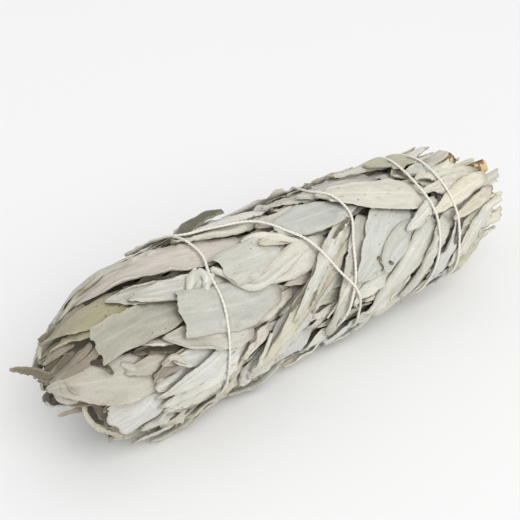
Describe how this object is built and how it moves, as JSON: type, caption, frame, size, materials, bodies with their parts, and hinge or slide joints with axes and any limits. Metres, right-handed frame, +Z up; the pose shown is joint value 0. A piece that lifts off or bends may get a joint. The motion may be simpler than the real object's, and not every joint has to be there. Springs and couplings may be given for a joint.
{
  "type": "dried sage bunch",
  "caption": "Bunch of dried white-sage leaves on cut woody stems, wound and tied with a cotton thread, lying down.",
  "frame": {"origin": "on the surface the bunch lies on, under the middle of its bounding box", "axes": "+X along the bunch from the leaf tips to the cut stems, +Z up"},
  "size_m": [0.1608, 0.0506, 0.048],
  "materials": {
    "leaves": "dry, velvety, silvery grey-green",
    "stems": "dry pale bark, fibrous cut end",
    "thread": "twisted white cotton, matt"
  },
  "bodies": {
    "root": {"leaves_1": "leaves", "leaves_2": "leaves", "leaves_3": "leaves", "leaves_4": "leaves", "leaves_5": "leaves", "leaves_6": "leaves", "leaves_7": "leaves", "stem_1": "stems", "stem_2": "stems", "stem_3": "stems", "stem_4": "stems", "stem_5": "stems", "stem_6": "stems", "stem_7": "stems", "thread": "thread"}
  },
  "joints": []
}
